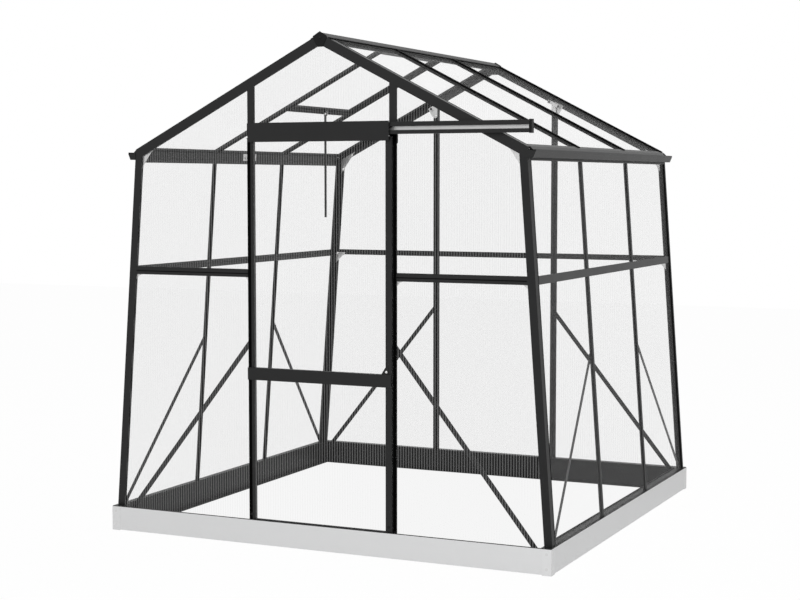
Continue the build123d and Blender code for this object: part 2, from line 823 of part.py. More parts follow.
# Door rollers: grooved wheels in the track, each on a pin from the head plate
roller_x = leaf_half - roller_inset
track_middle = gable_y + (track_depth + strip_thickness) / 2
with BuildPart() as door_rollers:
    with BuildSketch(Plane.XZ.offset(track_middle - roller_width / 2)):
        with Locations((-roller_x, roller_axis), (roller_x, roller_axis)):
            Circle(roller_radius)
    extrude(amount=roller_width)
    chamfer(door_rollers.edges().filter_by(GeomType.CIRCLE), length=running_gap * 4)
    with BuildSketch(Plane.XZ.offset(track_middle)):
        with Locations((-roller_x, roller_axis), (roller_x, roller_axis)):
            Circle(roller_pin_radius)
    extrude(amount=plate_back - track_middle)
finish(door_rollers, "door_rollers")

with BuildPart() as door_gusset:
    with BuildSketch(leaf_plane):
        with Locations((stile_inner, door_rail_height + door_rail_face / 2)):
            Polygon(
                (-door_gusset_width, 0),
                (stile_face / 2, 0),
                (stile_face / 2, door_gusset_height),
                (0, door_gusset_height),
            )
    extrude(amount=gusset_sheet)
finish(door_gusset, "door_gusset")

# Gusset plates behind the lips: at the eave corners, under the rear rails and at the studs' tops
with BuildPart() as gable_gussets:
    with BuildSketch(front_wall.offset(-groove_back - brace_sheet)):
        corner_x, corner_z = wall_roof_corner(post_floor, rafter_floor)
        Polygon(
            (corner_x, corner_z),
            (wall_x(corner_z - gusset_leg, post_floor), corner_z - gusset_leg),
            (corner_x - gusset_leg, roof_z(corner_x - gusset_leg, rafter_floor)),
        )
        mirror(about=Plane.YZ)
    extrude(amount=brace_sheet)
    mirror(about=Plane.XZ)
    with BuildSketch(front_wall.offset(-2 * gable_y + groove_back)):
        rail_under = rear_rail_height - web_half
        Polygon(
            (wall_x(rail_under, post_floor), rail_under),
            (wall_x(rail_under - rail_gusset_leg, post_floor), rail_under - rail_gusset_leg),
            (wall_x(rail_under, post_floor) - rail_gusset_leg, rail_under),
        )
        stud_top = roof_z(door_post_x, rafter_floor)
        Polygon(
            (door_post_x + web_half, stud_top - tee_height),
            (door_post_x + tee_width / 2, stud_top - tee_height),
            (door_post_x + tee_width, roof_z(door_post_x + tee_width, rafter_floor)),
            (door_post_x + web_half, roof_z(door_post_x + web_half, rafter_floor)),
        )
        mirror(about=Plane.YZ)
    extrude(amount=brace_sheet)
finish(gable_gussets, "gable_gussets")

# Clear twin-wall sheets, each in the grooves of the members round it
rail_over = rail_height + web_half
rail_below = rail_height - web_half
front_foot = [
    (door_post_x + web_half, guide_floor),
    (side_sill_edge - running_gap, guide_floor),
    (side_sill_edge - running_gap, sill_top),
    (wall_x(sill_top, post_floor), sill_top),
    (wall_x(rail_below, post_floor), rail_below),
    (door_post_x + web_half, rail_below),
]
front_upper = [
    (door_post_x + web_half, rail_over),
    (wall_x(rail_over, post_floor), rail_over),
    wall_roof_corner(post_floor, rafter_floor),
    (door_post_x + web_half, roof_z(door_post_x + web_half, rafter_floor)),
]
bay_edge = door_post_x - web_half


def peak_sheet(foot):
    """Half of the sheet between the two uprights, from a level up to the rafters."""
    return [
        (0, foot),
        (bay_edge, foot),
        (bay_edge, roof_z(bay_edge, rafter_floor)),
        (0, roof_z(0, rafter_floor)),
    ]


with BuildPart() as front_glazing:
    with BuildSketch(front_wall.offset(-profile_wall)):
        Polygon(*front_foot)
        Polygon(*front_upper)
        Polygon(*peak_sheet(header_height + web_half))
        mirror(about=Plane.YZ)
    extrude(amount=-glazing)
finish(front_glazing, "front_glazing")

rear_over = rear_rail_height + web_half
rear_below = rear_rail_height - web_half
with BuildPart() as back_glazing:
    with BuildSketch(front_wall.offset(-2 * gable_y + profile_wall)):
        Polygon(
            (door_post_x + web_half, sill_top),
            (wall_x(sill_top, post_floor), sill_top),
            (wall_x(rear_below, post_floor), rear_below),
            (door_post_x + web_half, rear_below),
        )
        Polygon(
            (door_post_x + web_half, rear_over),
            (wall_x(rear_over, post_floor), rear_over),
            wall_roof_corner(post_floor, rafter_floor),
            (door_post_x + web_half, roof_z(door_post_x + web_half, rafter_floor)),
        )
        Polygon((0, sill_top), (bay_edge, sill_top), (bay_edge, rear_below), (0, rear_below))
        Polygon(*peak_sheet(rear_over))
        mirror(about=Plane.YZ)
    extrude(amount=glazing)
finish(back_glazing, "back_glazing")

bay_spans = [
    (-gable_y + return_floor, -bay_bar_y - web_half),
    (-bay_bar_y + web_half, bay_bar_y - web_half),
    (bay_bar_y + web_half, gable_y - return_floor),
]
wall_heights = [
    (-post_face, rail_rise - web_half),
    (rail_rise + web_half, wall_rise - eave_wall_leg + groove_depth),
]
with BuildPart() as right_glazing:
    with BuildSketch(right_wall.offset(-profile_wall)):
        for start, stop in bay_spans:
            for low, high in wall_heights:
                Polygon((start, low), (stop, low), (stop, high), (start, high))
    extrude(amount=-glazing)
    split(bisect_by=level_sill, keep=Keep.TOP)
with BuildPart() as left_glazing:
    mirror(right_glazing.part, about=Plane.YZ)
finish(right_glazing, "right_glazing")
finish(left_glazing, "left_glazing")

roof_top = -(ridge_leg - groove_depth)
roof_low = -(roof_run - eave_roof_leg + groove_depth)
rafter_in = rafter_return - groove_depth
roof_spans = [
    (-gable_y + rafter_in, -bay_bar_y - web_half),
    (-bay_bar_y + web_half, bay_bar_y - web_half),
    (bay_bar_y + web_half, gable_y - rafter_in),
]


def roof_sheets(middle_top):
    """The three sheets of the right-hand slope, the middle one up to the given line."""
    tops = [roof_top, middle_top, roof_top]
    with BuildPart() as sheets:
        with BuildSketch(right_roof.offset(-profile_wall)):
            for (start, stop), top in zip(roof_spans, tops):
                Polygon((start, roof_low), (stop, roof_low), (stop, top), (start, top))
        extrude(amount=-glazing)
    return sheets


roof_glazing_right = roof_sheets(roof_top)
finish(roof_glazing_right, "roof_glazing_right")
with BuildPart() as roof_glazing_left:
    mirror(roof_sheets(-vent_foot - web_half).part, about=Plane.YZ)
finish(roof_glazing_left, "roof_glazing_left")

# Roof vent, shut: a frame on the bars' outer faces, its sheet and the stay that hangs from its foot
vent_top = -(ridge_cap_half_width / cos(pitch) + vent_side_gap)
vent_low = -(vent_foot + bar_face / 2 - vent_side_gap)
vent_half = bay_bar_y - vent_side_gap
vent_middle = (vent_top + vent_low) / 2
vent_length = vent_top - vent_low
vent_glazing_plane = right_roof.offset((vent_frame_height - glazing) / 2)
with BuildPart() as vent_frame_mirrored:
    with BuildSketch(right_roof):
        with Locations((0, vent_middle)):
            Rectangle(2 * vent_half, vent_length)
            Rectangle(
                2 * (vent_half - vent_frame_face), vent_length - 2 * vent_frame_face, mode=Mode.SUBTRACT
            )
    extrude(amount=vent_frame_height)
    with BuildSketch(vent_glazing_plane):
        with Locations((0, vent_middle)):
            Rectangle(2 * (vent_half - vent_glazing_inset), vent_length - 2 * vent_glazing_inset)
    extrude(amount=glazing, mode=Mode.SUBTRACT)
with BuildPart() as vent_frame:
    mirror(vent_frame_mirrored.part, about=Plane.YZ)
finish(vent_frame, "vent_frame")

with BuildPart() as vent_glazing_mirrored:
    with BuildSketch(vent_glazing_plane):
        with Locations((0, vent_middle)):
            Rectangle(2 * (vent_half - vent_glazing_inset), vent_length - 2 * vent_glazing_inset)
    extrude(amount=glazing)
with BuildPart() as vent_glazing:
    mirror(vent_glazing_mirrored.part, about=Plane.YZ)
finish(vent_glazing, "vent_glazing")

stay_x = (-vent_low - vent_frame_face) * cos(pitch) - stay_width / 2
with BuildPart() as vent_stay_mirrored:
    with BuildSketch(Plane.XZ.offset(-stay_y)):
        with Locations((stay_x, 0)):
            Polygon(
                (0, roof_z(stay_x)),
                (stay_width, roof_z(stay_x + stay_width)),
                (stay_width, roof_z(stay_x) - stay_length),
                (0, roof_z(stay_x) - stay_length),
            )
    extrude(amount=stay_sheet / 2, both=True)
with BuildPart() as vent_stay:
    mirror(vent_stay_mirrored.part, about=Plane.YZ)
finish(vent_stay, "vent_stay")
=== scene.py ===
import math
from collections import namedtuple

import bmesh
import bpy
from mathutils import Matrix, Vector


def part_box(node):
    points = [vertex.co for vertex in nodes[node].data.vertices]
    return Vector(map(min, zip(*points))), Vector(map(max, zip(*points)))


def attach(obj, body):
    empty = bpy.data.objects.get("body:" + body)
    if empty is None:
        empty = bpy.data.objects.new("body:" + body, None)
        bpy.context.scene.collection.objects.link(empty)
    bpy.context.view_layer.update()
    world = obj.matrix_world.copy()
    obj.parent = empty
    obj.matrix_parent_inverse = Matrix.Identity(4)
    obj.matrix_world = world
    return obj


# Studio scene of the greenhouse: the finish of every profile, board, sheet and plate,
# and the small fasteners, strips, gaskets and covers that ride on them.
# Metres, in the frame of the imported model: X to the right seen from the door, Y to the rear, Z up.

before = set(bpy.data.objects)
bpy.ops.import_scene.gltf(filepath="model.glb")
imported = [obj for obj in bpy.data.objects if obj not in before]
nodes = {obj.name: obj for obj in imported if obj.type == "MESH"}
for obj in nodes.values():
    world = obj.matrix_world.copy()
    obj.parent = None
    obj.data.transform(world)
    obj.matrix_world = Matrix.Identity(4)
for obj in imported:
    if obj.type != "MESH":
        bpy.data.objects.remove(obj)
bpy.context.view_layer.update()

# Sizes of the frame that the small pieces need
BASE_HALF_WIDTH = 0.9655
BASE_HALF_DEPTH = 0.950
BASE_TOP = 0.099
FOOT_HALF_WIDTH = 0.958
EAVE_HALF_WIDTH = 0.849
EAVE_HEIGHT = 1.576
ROOF_PEAK = 2.014
GABLE_Y = 0.919
BAY_BAR_Y = 0.306
# From the outer edge of a corner post to the floor of its groove
POST_GROOVE_FLOOR = 0.0175
# From the outer face of a profile to the back of its inner lip
LIP_BACK = 0.0078
# Middle of the door posts and of the rear studs, and the studs' face inside the house
STUD_X = 0.309
STUD_FACE_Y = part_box("back_studs")[0].y
HOUSE_MIDDLE = Vector((0, 0, 1))

# Sizes that several small pieces share
PLATE = 0.002
# Strips are let into the face that carries them by this much, or a plate stands off it
HAIRLINE = 0.0002
# How far inside an eave beam's outer face the back of its splice plate lies
SPLICE_INWARD = 0.0021
# Top edge of the corner plates at the front rails, behind the rails' lower lips
RAIL_PLATE_TOP = 1.0745
# Where the strips along a slope begin, beside the ridge cap, and where they end
STRIP_TOP_X = 0.034
STRIP_FOOT_X = 0.842

LEAN = math.atan2(FOOT_HALF_WIDTH - EAVE_HALF_WIDTH, EAVE_HEIGHT - BASE_TOP)
PITCH = math.atan2(ROOF_PEAK - EAVE_HEIGHT, EAVE_HALF_WIDTH)
ALONG_X = (1, 0, 0)
ALONG_Y = (0, 1, 0)
ALONG_Z = (0, 0, 1)


def leaning(side):
    """Direction up a post or bar of the right-hand (1) or left-hand (-1) wall."""
    return (-side * math.sin(LEAN), 0, math.cos(LEAN))


def sloping(side):
    """Direction down the right-hand (1) or left-hand (-1) slope."""
    return (side * math.cos(PITCH), 0, -math.sin(PITCH))


def wall_x(z):
    """Half width over the outer faces of the side walls at a height."""
    return FOOT_HALF_WIDTH - (z - BASE_TOP) * math.tan(LEAN)


def roof_z(x):
    """Height of the slopes' outer faces at a distance from the middle."""
    return ROOF_PEAK - abs(x) * math.tan(PITCH)


# Shader maths


class Signal:
    """A value that varies over a surface. Arithmetic on it adds Math nodes."""

    def __init__(self, wiring, socket):
        self.wiring = wiring
        self.socket = socket

    def __add__(self, other):
        return self.wiring.maths("ADD", self, other)

    __radd__ = __add__

    def __mul__(self, other):
        return self.wiring.maths("MULTIPLY", self, other)

    __rmul__ = __mul__

    def __truediv__(self, other):
        return self.wiring.maths("DIVIDE", self, other)

    def __rtruediv__(self, other):
        return self.wiring.maths("DIVIDE", other, self)

    def __pow__(self, other):
        return self.wiring.maths("POWER", self, other)

    def __rpow__(self, other):
        return self.wiring.maths("POWER", other, self)


class Wiring:
    """A node tree in the making."""

    def __init__(self, tree):
        self.tree = tree

    def node(self, kind, settings=None, sockets=None, output=0):
        """Add a node with its settings, values and links, and return one of its outputs."""
        made = self.tree.nodes.new(kind)
        for name, value in (settings or {}).items():
            setattr(made, name, value)
        for name, value in (sockets or {}).items():
            self.plug(made.inputs[name], value)
        return Signal(self, made.outputs[output])

    def plug(self, socket, value):
        """Link a signal to a socket, or set the socket's value."""
        if isinstance(value, Signal):
            self.tree.links.new(value.socket, socket)
        else:
            socket.default_value = value

    def maths(self, operation, first, second=0.0):
        return self.node("ShaderNodeMath", {"operation": operation}, {0: first, 1: second})

    def ray(self, kind):
        """1 for rays of a kind, such as "Is Camera Ray", and 0 for others."""
        return self.node("ShaderNodeLightPath", output=kind)


class Finish(Wiring):
    """A material in the making: one Principled shader and the nodes that feed it."""

    def __init__(self, name, constants):
        self.material = bpy.data.materials.new(name)
        self.material.use_nodes = True
        super().__init__(self.material.node_tree)
        self.shader = self.tree.nodes["Principled BSDF"]
        for socket, value in constants.items():
            self.shader.inputs[socket].default_value = value

    def feed(self, socket, value):
        """Feed one of the shader's own sockets."""
        self.plug(self.shader.inputs[socket], value)

    def place(self):
        """Where the shaded point is, in the piece's own frame."""
        return self.node("ShaderNodeTexCoord", output="Object")

    def vector(self, operation, sockets, output="Vector"):
        return self.node("ShaderNodeVectorMath", {"operation": operation}, sockets, output)

    def along(self, place, direction):
        """Distance along a direction."""
        return self.vector("DOT_PRODUCT", {0: place, 1: direction}, output="Value")

    def drawn_out(self, place, direction, length):
        """The place with distances along one direction divided by a length, for lines along a profile."""
        shift = self.vector("SCALE", {0: direction, "Scale": self.along(place, direction) * (1 - 1 / length)})
        return self.vector("SUBTRACT", {0: place, 1: shift})

    def noise(self, place, scale, detail=2.0):
        return self.node("ShaderNodeTexNoise", None, {"Vector": place, "Scale": scale, "Detail": detail})

    def cells(self, place, scale, output):
        """Small cells, by their distance or their colour."""
        return self.node("ShaderNodeTexVoronoi", None, {"Vector": place, "Scale": scale}, output)

    def mix(self, factor, first, second):
        """Between two colours."""
        settings = {"data_type": "RGBA"}
        return self.node("ShaderNodeMix", settings, {0: factor, 6: first, 7: second}, output=2)

    def shades(self, tone, level, spread, warmth=0.0):
        """Greys that vary with a tone by this share to both sides of a level."""
        return self.mix(tone, grey(level * (1 - spread), warmth), grey(level * (1 + spread), warmth))

    def bump(self, height, distance, strength):
        sockets = {"Height": height, "Distance": distance, "Strength": strength}
        return self.node("ShaderNodeBump", None, sockets)


def grey(level, warmth=0.0):
    """A grey of this level, a little warmer or cooler."""
    return (level * (1 + warmth), level, level * (1 - warmth), 1.0)


# Finishes


def powder_coat(name, direction, level=0.010, shine=0.24):
    """Dark grey powder coat over an extrusion: orange peel, and faint lines along the profile."""
    coat = Finish(name, {"Specular IOR Level": shine})
    place = coat.place()
    cloud = coat.noise(place, scale=9.0, detail=3.0)
    peel = coat.noise(place, scale=1400.0)
    die_lines = coat.noise(coat.drawn_out(place, direction, 400.0), scale=700.0)
    coat.feed("Base Color", coat.shades(cloud, level, spread=0.14, warmth=-0.015))
    coat.feed("Roughness", 0.36 + cloud * 0.08 + die_lines * 0.06)
    coat.feed("Normal", coat.bump(peel * 0.7 + die_lines * 0.3, distance=0.00012, strength=0.5))
    return coat.material


def coated_base(name, direction, level=0.72):
    """Pale satin coat over folded sheet: slow unevenness and fine rolling lines."""
    coat = Finish(name, {"Specular IOR Level": 0.4})
    place = coat.place()
    cloud = coat.noise(place, scale=5.0, detail=4.0)
    lines = coat.noise(coat.drawn_out(place, direction, 60.0), scale=900.0, detail=3.0)
    coat.feed("Base Color", coat.shades(cloud * 0.6 + lines * 0.4, level, spread=0.025, warmth=-0.004))
    coat.feed("Roughness", 0.38 + lines * 0.12)
    coat.feed("Normal", coat.bump(lines + cloud * 3.0, distance=0.0002, strength=0.35))
    return coat.material


def bare_aluminium(name, direction):
    """Bare extruded aluminium with lines along its length."""
    metal = Finish(name, {"Metallic": 1.0})
    place = metal.place()
    lines = metal.noise(metal.drawn_out(place, direction, 300.0), scale=1600.0, detail=3.0)
    cloud = metal.noise(place, scale=12.0, detail=3.0)
    metal.feed("Base Color", metal.shades(lines * 0.6 + cloud * 0.4, level=0.62, spread=0.1))
    metal.feed("Roughness", 0.3 + lines * 0.2)
    metal.feed("Normal", metal.bump(lines, distance=0.0001, strength=0.6))
    return metal.material


def zinc_plate(name, level=0.66):
    """Zinc-plated steel: small crystals and a slight yellow cast in patches."""
    zinc = Finish(name, {"Metallic": 0.9})
    place = zinc.place()
    crystals = zinc.cells(place, scale=420.0, output="Color")
    cloud = zinc.noise(place, scale=60.0, detail=3.0)
    dull, bright = grey(level * 0.88, 0.02), grey(level * 1.12, -0.01)
    zinc.feed("Base Color", zinc.mix(crystals * 0.5 + cloud * 0.5, dull, bright))
    zinc.feed("Roughness", 0.28 + cloud * 0.2)
    zinc.feed("Normal", zinc.bump(cloud, distance=0.0002, strength=0.3))
    return zinc.material


def black_plastic(name, level, shine):
    """Moulded black plastic with a fine spark-eroded grain."""
    plastic = Finish(name, {"Specular IOR Level": shine})
    place = plastic.place()
    grain = plastic.cells(place, scale=1500.0, output="Distance")
    cloud = plastic.noise(place, scale=30.0)
    plastic.feed("Base Color", plastic.shades(cloud, level, spread=0.2))
    plastic.feed("Roughness", 0.42 + cloud * 0.1)
    plastic.feed("Normal", plastic.bump(grain, distance=0.0001, strength=0.5))
    return plastic.material


def white_nylon(name):
    """Off-white moulded nylon, a little cloudy."""
    nylon = Finish(name, {"Subsurface Weight": 0.1, "Subsurface Scale": 0.002})
    cloud = nylon.noise(nylon.place(), scale=80.0, detail=3.0)
    nylon.feed("Base Color", nylon.mix(cloud, grey(0.66, 0.02), grey(0.76, 0.03)))
    nylon.feed("Roughness", 0.4 + cloud * 0.15)
    nylon.feed("Normal", nylon.bump(cloud, distance=0.0002, strength=0.3))
    return nylon.material


def black_rubber(name):
    """Black rubber with fine lines from its die."""
    rubber = Finish(name, {"Specular IOR Level": 0.25})
    lines = rubber.noise(rubber.drawn_out(rubber.place(), ALONG_Z, 300.0), scale=2200.0)
    rubber.feed("Base Color", rubber.mix(lines, grey(0.004), grey(0.009)))
    rubber.feed("Roughness", 0.65 + lines * 0.2)
    rubber.feed("Normal", rubber.bump(lines, distance=0.0001, strength=0.5))
    return rubber.material


# Spacing of the webs between a sheet's two walls, and how much one wall dims what lies behind it,
# glows at a web with painted light, and varies from place to place
WEB_PITCH = 0.011
FACE_DIMMING = 0.041
PAINTED_WEB_GLOW = 0.070
HAZE_SWING = 0.004


def twin_wall(name, direction):
    """Clear twin-wall sheet. Each of its two faces dims what lies behind, and at every pitch, where a web stands
    between them, the sheet glows with painted light: a soft pale line over dark things and not over white."""
    clear = Finish(name, {"IOR": 1.58, "Specular IOR Level": 0.1, "Emission Strength": 1.0})
    place = clear.place()
    phase = clear.along(place, direction) * (2 * math.pi / WEB_PITCH)
    web = (0.5 + clear.maths("COSINE", phase) * 0.5) ** 4.0
    painted_web_glow = web * PAINTED_WEB_GLOW
    haze = clear.noise(place, scale=3.0)
    drawn = clear.noise(clear.drawn_out(place, direction, 1 / 40.0), scale=30.0)
    cover = painted_web_glow + haze * HAZE_SWING + (FACE_DIMMING - HAZE_SWING / 2)
    clear.feed("Base Color", clear.mix(haze, grey(0.036, -0.01), grey(0.044, -0.005)))
    clear.feed("Roughness", 0.12 + drawn * 0.05)
    clear.feed("Alpha", cover)
    # The glow at the webs is painted light: an emission that stands in for the light the webs would gather.
    clear.feed("Emission Color", clear.mix(painted_web_glow / cover, grey(0.0), grey(1.0)))
    clear.feed("Normal", clear.bump(web * 0.15 + drawn, distance=0.0003, strength=0.25))
    clear.material.cycles.emission_sampling = "NONE"
    return clear.material


# Each dark coat has its lines along its own profiles. The levels are those that the photograph shows.
coat_x = powder_coat("dark_coat_along_x", ALONG_X)
coat_y = powder_coat("dark_coat_along_y", ALONG_Y)
coat_z = powder_coat("dark_coat_upright", ALONG_Z)
coat_wall_left = powder_coat("dark_coat_wall_left", leaning(-1))
# The right-hand wall's copy is lighter and less glossy than the plain coat: painted light that stands for the sheen
# the wall catches.
painted_sheen_coat_right = powder_coat("painted_sheen_coat_right_wall", leaning(1), level=0.021, shine=0.10)
# The rear right post's copy is near black: painted shade on a post that stands back-lit.
painted_shade_rear_post_coat = powder_coat("painted_shade_coat_rear_post", leaning(1), level=0.006, shine=0.11)
coat_roof_left = powder_coat("dark_coat_slope_left", sloping(-1))
coat_roof_right = powder_coat("dark_coat_slope_right", sloping(1))
# The right-hand slope's bars get a near-black copy: painted shade on bars seen edge-on.
painted_shade_bars_right_coat = powder_coat("painted_shade_coat_slope", sloping(1), level=0.0015, shine=0.01)
# The ridge's copy is darker than the plain coat: painted shade on the ridge beam, cap and end plates.
painted_shade_ridge_coat = powder_coat("ridge_coat_painted_shade", ALONG_Y, level=0.006, shine=0.14)
coat_sill_x = powder_coat("dark_coat_sill_gable", ALONG_X, level=0.006, shine=0.14)
coat_sill_y = powder_coat("dark_coat_sill_side", ALONG_Y, level=0.006, shine=0.14)
base_x = coated_base("base_coat_along_x", ALONG_X)
base_y = coated_base("base_coat_along_y", ALONG_Y)
base_corner = coated_base("base_corner_coat", ALONG_Z, level=0.73)
strip_metal = bare_aluminium("track_strip_metal", ALONG_X)
zinc = zinc_plate("zinc_plate")
black_zinc = zinc_plate("black_zinc_plate", level=0.015)
# Near-black strips: partly real seals, gaskets and cover strips, and partly painted shade where grooves, gaps and
# inner corners lie in shade.
seal_and_shade_black = black_plastic("black_seal_and_shade_strip", level=0.002, shine=0.01)
cap_plastic = black_plastic("cap_plastic", level=0.006, shine=0.12)
nylon = white_nylon("roller_nylon")
rubber = black_rubber("seal_rubber")
sheet_x = twin_wall("twin_wall_sheet_gable", ALONG_X)
sheet_y = twin_wall("twin_wall_sheet_side", ALONG_Y)

NODES_BY_FINISH = (
    (coat_x, ("front_rails", "back_rails", "door_header", "door_track", "sill_front", "gable_braces")),
    (coat_x, ("door_head_rail", "door_middle_rail", "door_bottom_rail", "door_gusset")),
    (coat_y, ("rail_left", "rail_right", "eave_beam_left", "eave_beam_right", "gutter_left", "gutter_right")),
    (coat_y, ("vent_trimmer", "vent_frame", "side_braces")),
    (coat_z, ("door_posts", "back_studs", "door_stiles", "vent_stay")),
    (coat_wall_left, ("post_front_left", "post_back_left", "wall_bars_left")),
    (painted_sheen_coat_right, ("post_front_right", "wall_bars_right")),
    (painted_shade_rear_post_coat, ("post_back_right",)),
    (coat_roof_left, ("rafter_front_left", "rafter_back_left", "roof_bars_left")),
    (coat_roof_right, ("rafter_front_right", "rafter_back_right")),
    (painted_shade_bars_right_coat, ("roof_bars_right",)),
    (painted_shade_ridge_coat, ("ridge_beam", "ridge_cap", "ridge_plates")),
    (coat_sill_x, ("sill_back",)),
    (coat_sill_y, ("sill_left", "sill_right")),
    (base_x, ("base_front", "base_back")),
    (base_y, ("base_left", "base_right")),
    (base_corner, ("base_corners",)),
    (strip_metal, ("track_strip",)),
    (zinc, ("gable_gussets",)),
    (cap_plastic, ("track_caps",)),
    (nylon, ("door_rollers",)),
    (rubber, ("door_seal",)),
    (sheet_x, ("front_glazing", "back_glazing", "door_glazing")),
    (sheet_y, ("left_glazing", "right_glazing", "roof_glazing_left", "roof_glazing_right", "vent_glazing")),
)
finish_of = {name: finish for finish, names in NODES_BY_FINISH for name in names}

for name, node in nodes.items():
    node.data.materials.clear()
    node.data.materials.append(finish_of[name])


# Small pieces


def new_piece(name, mesh_maker, material, body):
    """A mesh piece made by a function that fills a bmesh."""
    shape = bmesh.new()
    mesh_maker(shape)
    bmesh.ops.recalc_face_normals(shape, faces=shape.faces)
    mesh = bpy.data.meshes.new(name)
    shape.to_mesh(mesh)
    shape.free()
    mesh.materials.append(material)
    piece = bpy.data.objects.new(name, mesh)
    bpy.context.scene.collection.objects.link(piece)
    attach(piece, body)


def frame_at(point, normal):
    """A placement with its Z along the normal."""
    turn = Vector(normal).to_track_quat("Z", "Y").to_matrix().to_4x4()
    return Matrix.Translation(point) @ turn


def add_lathe(shape, profile, placement, sides=16):
    """A closed turned form from (radius, height) pairs, the first and last on the axis."""
    turns = [2 * math.pi * i / sides for i in range(sides)]
    rings = []
    for radius, height in profile:
        if radius == 0:
            ring = [(0, 0, height)]
        else:
            ring = [(radius * math.cos(turn), radius * math.sin(turn), height) for turn in turns]
        rings.append([shape.verts.new(placement @ Vector(point)) for point in ring])
    for lower, upper in zip(rings, rings[1:]):
        for i in range(sides):
            j = (i + 1) % sides
            corners = [lower[i % len(lower)], lower[j % len(lower)], upper[j % len(upper)], upper[i % len(upper)]]
            shape.faces.new(list(dict.fromkeys(corners)))


def add_flush_bolt(shape, point, normal):
    """A flat bolt head let into its plate, its face 0.05 mm proud."""
    head, sunk, tall = 0.0058, 0.001, 0.00105
    foot = Vector(point) - Vector(normal) * sunk
    add_lathe(shape, [(0, 0), (head, 0), (head, sunk), (head * 0.9, tall), (0, tall)], frame_at(foot, normal))


def add_bolt(shape, point, normal, head, tall):
    """A round-headed bolt on its washer."""
    washer, washer_height = head * 1.35, 0.0009
    profile = [
        (0, 0),
        (washer, 0),
        (washer, washer_height),
        (head, washer_height + 0.0001),
        (head, tall * 0.45),
        (head * 0.82, tall * 0.8),
        (head * 0.45, tall),
        (0, tall),
    ]
    add_lathe(shape, profile, frame_at(point, normal), sides=14)


def add_nut(shape, point, normal, across=0.0065, tall=0.0045):
    """A hexagon nut on its washer, with the bolt's end through it."""
    placement = frame_at(point, normal)
    washer, washer_height = across * 1.3, 0.0009
    crown = tall * 1.12
    shank, shoulder, tip = across * 0.45, tall * 1.6, tall * 1.75
    add_lathe(shape, [(0, 0), (washer, 0), (washer, washer_height), (0, washer_height)], placement, sides=14)
    nut = [(0, washer_height), (across, washer_height), (across, tall), (across * 0.86, crown), (0, crown)]
    add_lathe(shape, nut, placement, sides=6)
    bolt_end = [(0, tall), (shank, tall), (shank, shoulder), (across * 0.3, tip), (0, tip)]
    add_lathe(shape, bolt_end, placement, sides=10)


def add_plate(shape, outline, thickness):
    """A flat plate with bevelled rims, from its outline's points, thickened along their normal."""
    outline = [Vector(point) for point in outline]
    normal = sum((a.cross(b) for a, b in zip(outline, outline[1:] + outline[:1])), Vector()).normalized()
    middle = sum(outline, Vector()) / len(outline)
    rim = 0.35 * thickness
    layers = []
    for depth, inset in ((0, rim), (rim, 0), (thickness - rim, 0), (thickness, rim)):
        points = [p + (middle - p).normalized() * inset + normal * depth for p in outline]
        layers.append([shape.verts.new(point) for point in points])
    for lower, upper in zip(layers, layers[1:]):
        for i, corner in enumerate(lower):
            j = (i + 1) % len(lower)
            shape.faces.new((corner, lower[j], upper[j], upper[i]))
    shape.faces.new(layers[0])
    shape.faces.new(layers[-1])


def oblong(first, last, foot, top):
    """The four corners of an oblong in two coordinates, in order round it."""
    return ((first, foot), (last, foot), (last, top), (first, top))


def mirrored(outline, side, gable=1):
    """An outline drawn on the right, for either side and gable, turned round where its face would flip."""
    placed = [(side * x, gable * y, z) for x, y, z in outline]
    return placed if side * gable > 0 else placed[::-1]


Facet = namedtuple("Facet", "middle normal area corners")


def solids_of(node):
    """The closed solids of a CAD node, each as a list of its faces."""
    shape = bmesh.new()
    shape.from_mesh(node.data)
    bmesh.ops.remove_doubles(shape, verts=shape.verts, dist=1e-5)
    bmesh.ops.dissolve_limit(shape, angle_limit=0.01, verts=shape.verts, edges=shape.edges)
    seen = set()
    solids = []
    for first in shape.faces:
        if first in seen:
            continue
        seen.add(first)
        reached, facets = [first], []
        while reached:
            face = reached.pop()
            corners = [vert.co.copy() for vert in face.verts]
            facets.append(Facet(face.calc_center_median(), face.normal.copy(), face.calc_area(), corners))
            for near in (other for edge in face.edges for other in edge.link_faces):
                if near not in seen:
                    seen.add(near)
                    reached.append(near)
        solids.append(facets)
    shape.free()
    return solids


def inner_face(plate):
    """Of a plate's two broad faces, the one towards the middle of the house."""
    broad = sorted(plate, key=lambda facet: -facet.area)[:2]
    return min(broad, key=lambda facet: (facet.middle - HOUSE_MIDDLE).length)


def base_corner_bolts(shape):
    """Two bolts through each leg of the base's corner angles."""
    inset = 0.019
    for side in (-1, 1):
        for gable in (-1, 1):
            for height in (0.024, 0.080):
                front = (side * (BASE_HALF_WIDTH - inset), gable * BASE_HALF_DEPTH, height)
                flank = (side * BASE_HALF_WIDTH, gable * (BASE_HALF_DEPTH - inset), height)
                add_flush_bolt(shape, front, (0, gable, 0))
                add_flush_bolt(shape, flank, (side, 0, 0))


def gusset_nuts(shape):
    """A nut near every corner of the gable plates but the one in the joint. Those at the studs have their own."""
    stud_zone, towards_middle = 0.5, 0.36
    for plate in solids_of(nodes["gable_gussets"]):
        face = inner_face(plate)
        middle = sum(face.corners, Vector()) / len(face.corners)
        if abs(middle.x) < stud_zone:
            continue
        by_reach = sorted(face.corners, key=lambda corner: (corner - HOUSE_MIDDLE).xz.length)
        for corner in by_reach[:-1]:
            add_nut(shape, corner.lerp(middle, towards_middle), face.normal)


